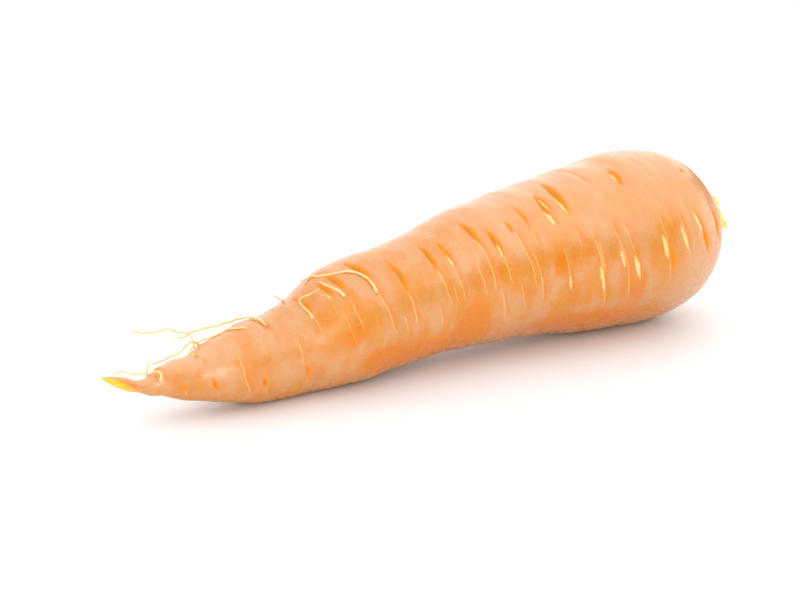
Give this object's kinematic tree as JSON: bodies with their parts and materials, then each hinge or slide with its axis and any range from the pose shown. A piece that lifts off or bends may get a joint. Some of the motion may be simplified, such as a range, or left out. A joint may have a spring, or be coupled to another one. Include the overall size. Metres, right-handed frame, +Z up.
{
  "type": "fresh carrot",
  "caption": "A fresh carrot with a tapering root, trimmed leaf stalks and fine rootlets, lying on its side.",
  "frame": {"origin": "on the surface the carrot lies on, under the middle of its box", "axes": "+X along the root from the tail to the crown, +Z up from the surface it lies on"},
  "size_m": [0.1926, 0.0494, 0.048],
  "materials": {
    "carrot_skin": "satin, smooth washed skin",
    "leaf_stalk": "matt, fibrous",
    "crown_bud": "matt",
    "rootlet": "matt, dry fibre"
  },
  "bodies": {
    "root": {"taproot": "carrot_skin", "leaf_stalk_01": "leaf_stalk", "leaf_stalk_02": "leaf_stalk", "leaf_stalk_03": "leaf_stalk", "leaf_stalk_04": "leaf_stalk", "leaf_stalk_05": "leaf_stalk", "leaf_stalk_06": "leaf_stalk", "leaf_stalk_07": "leaf_stalk", "leaf_stalk_08": "leaf_stalk", "leaf_stalk_09": "leaf_stalk", "leaf_stalk_10": "leaf_stalk", "leaf_stalk_11": "leaf_stalk", "crown_bud": "crown_bud", "rootlet_01": "rootlet", "rootlet_02": "rootlet", "rootlet_03": "rootlet", "rootlet_04": "rootlet", "rootlet_05": "rootlet", "rootlet_06": "rootlet", "rootlet_07": "rootlet", "rootlet_08": "rootlet", "rootlet_09": "rootlet", "rootlet_10": "rootlet", "rootlet_11": "rootlet", "rootlet_12": "rootlet", "rootlet_13": "rootlet", "rootlet_14": "rootlet", "rootlet_15": "rootlet"}
  },
  "joints": []
}
